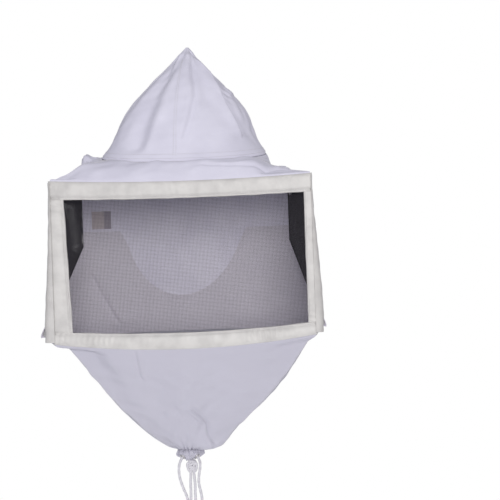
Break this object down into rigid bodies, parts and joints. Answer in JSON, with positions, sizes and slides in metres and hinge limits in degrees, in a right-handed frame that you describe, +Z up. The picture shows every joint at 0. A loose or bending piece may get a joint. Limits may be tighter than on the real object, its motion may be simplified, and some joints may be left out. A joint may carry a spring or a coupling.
{
  "type": "beekeeping veil",
  "caption": "Square folding beekeeping veil: cotton crown and brim, black wire-cloth window and hinged side screens, and a net skirt with a drawstring hem.",
  "frame": {"origin": "tip of the crown, where the veil is pinched and held up", "axes": "+Z up, -Y out of the front window, +X to the right of a person who faces the window"},
  "size_m": [0.4987, 0.2351, 0.8732],
  "materials": {
    "wire": "drawn spring-steel wire, inside the bindings",
    "screen": "black woven wire cloth, satin",
    "binding": "cream satin-weave cotton bias binding, lightly padded and puckered",
    "cotton": "white plain-weave cotton, matt",
    "elastic": "white woven elastic, ribbed",
    "net": "white fine knitted net, matt",
    "net_hem": "white net gathered into a cotton casing",
    "cord": "white braided cotton cord",
    "label": "blank woven label, one end darker",
    "eyelet": "nickel-plated pressed eyelet"
  },
  "bodies": {
    "hood": {"front_wire_frame": "wire", "front_screen": "screen", "front_binding_top": "binding", "front_binding_bottom": "binding", "front_binding_left": "binding", "front_binding_right": "binding", "corner_tape_left": "binding", "corner_tape_right": "binding", "crown_gore_front_left": "cotton", "crown_gore_front_right": "cotton", "crown_gore_rear_left": "cotton", "crown_gore_rear_right": "cotton", "headband_elastic": "elastic", "brim_front": "cotton", "brim_right": "cotton", "brim_rear": "cotton", "brim_left": "cotton", "rear_cloth": "cotton", "rear_header_band": "binding", "care_label": "label", "rear_net": "net", "skirt_front": "net", "skirt_right": "net", "skirt_rear": "net", "skirt_left": "net", "hem_casing": "net_hem", "hem_drawstring": "cord", "cord_left": "cord", "cord_right": "cord", "bow_loop": "cord", "bow_knot": "cord", "hank_left": "cord", "hank_right": "cord", "hank_tie_left": "cord", "hank_tie_right": "cord", "end_knot_left": "cord", "end_knot_right": "cord", "eyelet_left": "eyelet", "eyelet_right": "eyelet", "eyelet_washer_left": "eyelet", "eyelet_washer_right": "eyelet"},
    "left_wing": {"left_side_wire_frame": "wire", "left_side_screen": "screen", "left_side_binding_top": "binding", "left_side_binding_bottom": "binding", "left_side_binding_front": "binding", "left_side_binding_rear": "binding"},
    "right_wing": {"right_side_wire_frame": "wire", "right_side_screen": "screen", "right_side_binding_top": "binding", "right_side_binding_bottom": "binding", "right_side_binding_front": "binding", "right_side_binding_rear": "binding"}
  },
  "joints": [
    {"name": "left_fold", "type": "hinge", "parent": "hood", "child": "left_wing", "pos_m": [-0.213, -0.0916, -0.349], "axis": [0, 0, -1], "range_deg": [0, 80], "deforming": ["corner_tape_left"]},
    {"name": "right_fold", "type": "hinge", "parent": "hood", "child": "right_wing", "pos_m": [0.183, -0.0916, -0.349], "axis": [0, 0, 1], "range_deg": [0, 80], "deforming": ["corner_tape_right"]}
  ],
  "couplings": [
    {"joint": "right_fold", "follows": "left_fold", "ratio": 1}
  ]
}
